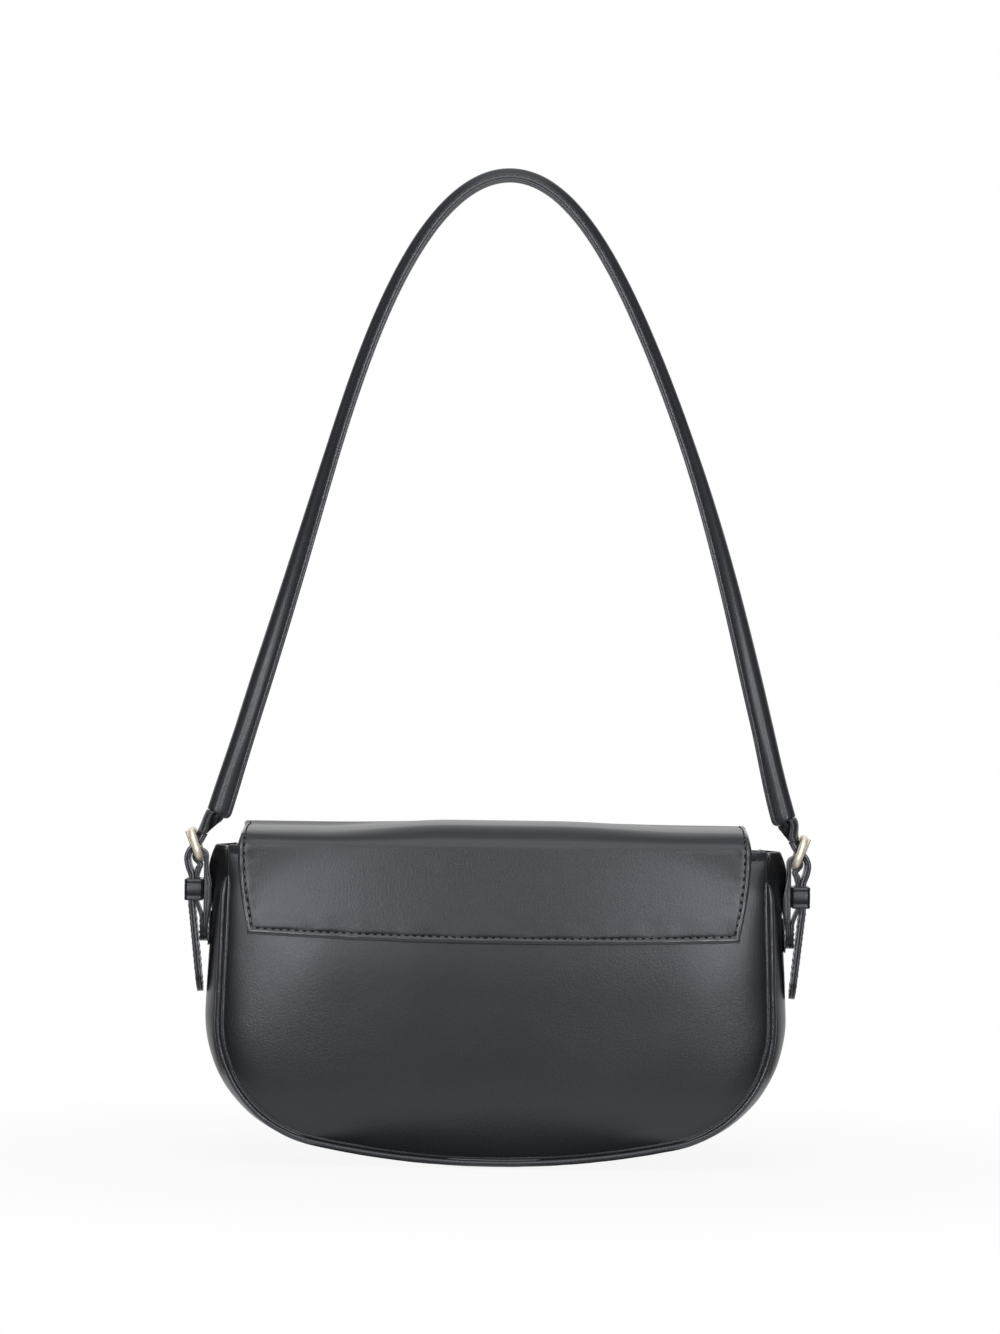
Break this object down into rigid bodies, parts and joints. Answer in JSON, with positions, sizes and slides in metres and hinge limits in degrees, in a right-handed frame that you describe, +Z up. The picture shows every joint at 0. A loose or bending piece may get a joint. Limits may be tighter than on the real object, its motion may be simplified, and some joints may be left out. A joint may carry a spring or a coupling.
{
  "type": "shoulder bag",
  "caption": "Small curved black leather shoulder bag with an opening flap, a magnetic snap and a rolled handle that swings on buckled side straps.",
  "frame": {"origin": "middle of the box on the ground, under the pressed-flat bottom", "axes": "+X to the right seen from the back panel with the yoke, -Y out of that panel, +Z up along the handle"},
  "size_m": [0.2804, 0.0735, 0.4455],
  "materials": {
    "black_leather": "smooth satin",
    "lining": "matt woven",
    "pale_gold": "polished, pale",
    "cord": "matt",
    "board": "matt",
    "magnet": "matt"
  },
  "bodies": {
    "bag": {"back_panel": "black_leather", "front_panel": "black_leather", "gusset": "black_leather", "back_piping": "black_leather", "front_piping": "black_leather", "flap_yoke": "black_leather", "back_lining": "lining", "front_lining": "lining", "gusset_lining": "lining", "back_facing": "black_leather", "front_facing": "black_leather", "slip_pocket": "lining", "base_board": "board", "snap_socket": "pale_gold", "snap_magnet": "magnet", "socket_washer": "pale_gold", "side_tab_left": "black_leather", "side_tab_right": "black_leather"},
    "top": {"flap_top": "black_leather", "flap_top_lining": "lining"},
    "front": {"flap_front": "black_leather", "flap_front_lining": "lining", "snap_stud": "pale_gold"},
    "handle": {"handle_cover": "black_leather", "handle_core": "cord", "handle_foot_left": "black_leather", "handle_foot_right": "black_leather", "strap_left": "black_leather", "strap_right": "black_leather", "chape_left": "black_leather", "chape_right": "black_leather", "buckle_left": "pale_gold", "buckle_right": "pale_gold", "keeper_left": "black_leather", "keeper_right": "black_leather"},
    "pin_left": {"prong_left": "pale_gold"},
    "pin_right": {"prong_right": "pale_gold"}
  },
  "joints": [
    {"name": "flap_top_hinge", "type": "hinge", "parent": "bag", "child": "top", "pos_m": [0, -0.03302, 0.1419], "axis": [1, 0, 0], "range_deg": [0, 30]},
    {"name": "flap_front_hinge", "type": "hinge", "parent": "top", "child": "front", "pos_m": [0, 0.02612, 0.14968], "axis": [1, 0, 0], "range_deg": [0, 135]},
    {"name": "handle_swing", "type": "hinge", "parent": "bag", "child": "handle", "pos_m": [0, -0.00249, 0.104], "axis": [1, 0, 0], "range_deg": [-90, 90]},
    {"name": "prong_left_hinge", "type": "hinge", "parent": "handle", "child": "pin_left", "pos_m": [-0.1332, -0.00249, 0.13597], "axis": [0, -1, 0], "range_deg": [0, 15]},
    {"name": "prong_right_hinge", "type": "hinge", "parent": "handle", "child": "pin_right", "pos_m": [0.1332, -0.00249, 0.13597], "axis": [0, 1, 0], "range_deg": [0, 15]}
  ]
}
